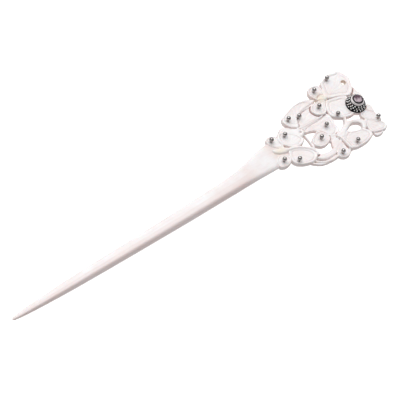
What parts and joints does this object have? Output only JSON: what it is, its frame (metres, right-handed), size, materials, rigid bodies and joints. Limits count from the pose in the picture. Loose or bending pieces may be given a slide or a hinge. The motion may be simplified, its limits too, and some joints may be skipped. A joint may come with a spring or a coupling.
{
  "type": "decorative hair pin",
  "caption": "Long carved bone hair pin: a tapered stick with a flat pierced head of butterflies and a flower, silver ball pegs and a granulated setting holding a round faceted stone.",
  "frame": {"origin": "under the middle of the bounding box, on the flat back that the pin lies on", "axes": "+X along the pin from the tip to the pierced head, +Y across the head towards the wing with the round hole, +Z out of the carved face"},
  "size_m": [0.181, 0.0356, 0.0064],
  "materials": {
    "bone": "polished bone, cream with a slight pink tint",
    "silver": "polished silver",
    "oxidised_silver": "silver darkened by oxidation",
    "granule_silver": "small bright granules on a dark ground",
    "stone": "faceted pale mauve stone"
  },
  "bodies": {
    "root": {"bone_body": "bone", "ball_peg_01": "silver", "ball_peg_02": "silver", "ball_peg_03": "silver", "ball_peg_04": "silver", "ball_peg_05": "silver", "ball_peg_06": "silver", "ball_peg_07": "silver", "ball_peg_08": "silver", "ball_peg_09": "silver", "ball_peg_10": "silver", "ball_peg_11": "silver", "ball_peg_12": "silver", "ball_peg_13": "silver", "ball_peg_14": "silver", "ball_peg_15": "silver", "setting_post": "silver", "setting_cone": "oxidised_silver", "grain_row_1": "granule_silver", "grain_row_2": "granule_silver", "grain_row_3": "granule_silver", "bezel": "silver", "stone": "stone"}
  },
  "joints": []
}
